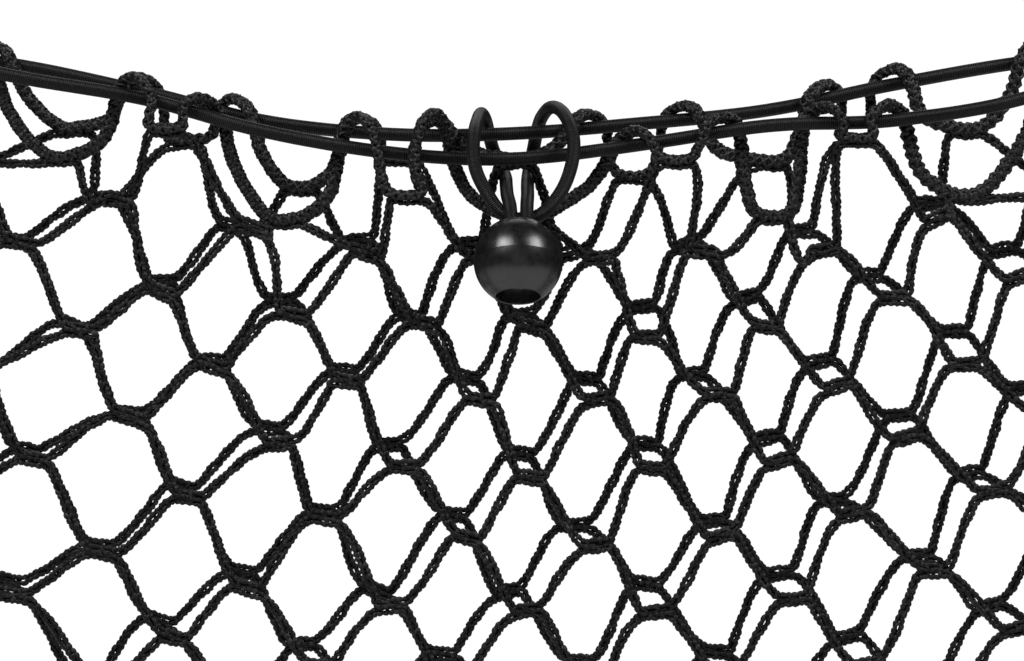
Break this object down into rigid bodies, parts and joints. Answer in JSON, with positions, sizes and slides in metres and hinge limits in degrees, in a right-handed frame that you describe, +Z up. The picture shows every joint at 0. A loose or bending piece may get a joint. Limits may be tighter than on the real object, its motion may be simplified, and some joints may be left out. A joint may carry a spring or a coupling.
{
  "type": "cargo net",
  "caption": "Double-layer knotless cargo net pocket on an elastic cord ring, its mouth clasped by a ball-bungee toggle.",
  "frame": {"origin": "on the hanging line, midway between the elastic ring's two corner bights", "axes": "+Z up, +X along the mouth to the right as seen from the toggle's side, -Y towards the viewer on that side"},
  "size_m": [0.4528, 0.0541, 0.2351],
  "materials": {
    "twine": "matte knitted black twine",
    "elastic_sheath": "satin black braided sheath over rubber",
    "ball_plastic": "satin-gloss moulded black plastic"
  },
  "bodies": {
    "root": {"net": "twine", "mouth_elastic": "elastic_sheath", "toggle_loop": "elastic_sheath", "toggle_ball": "ball_plastic"}
  },
  "joints": []
}
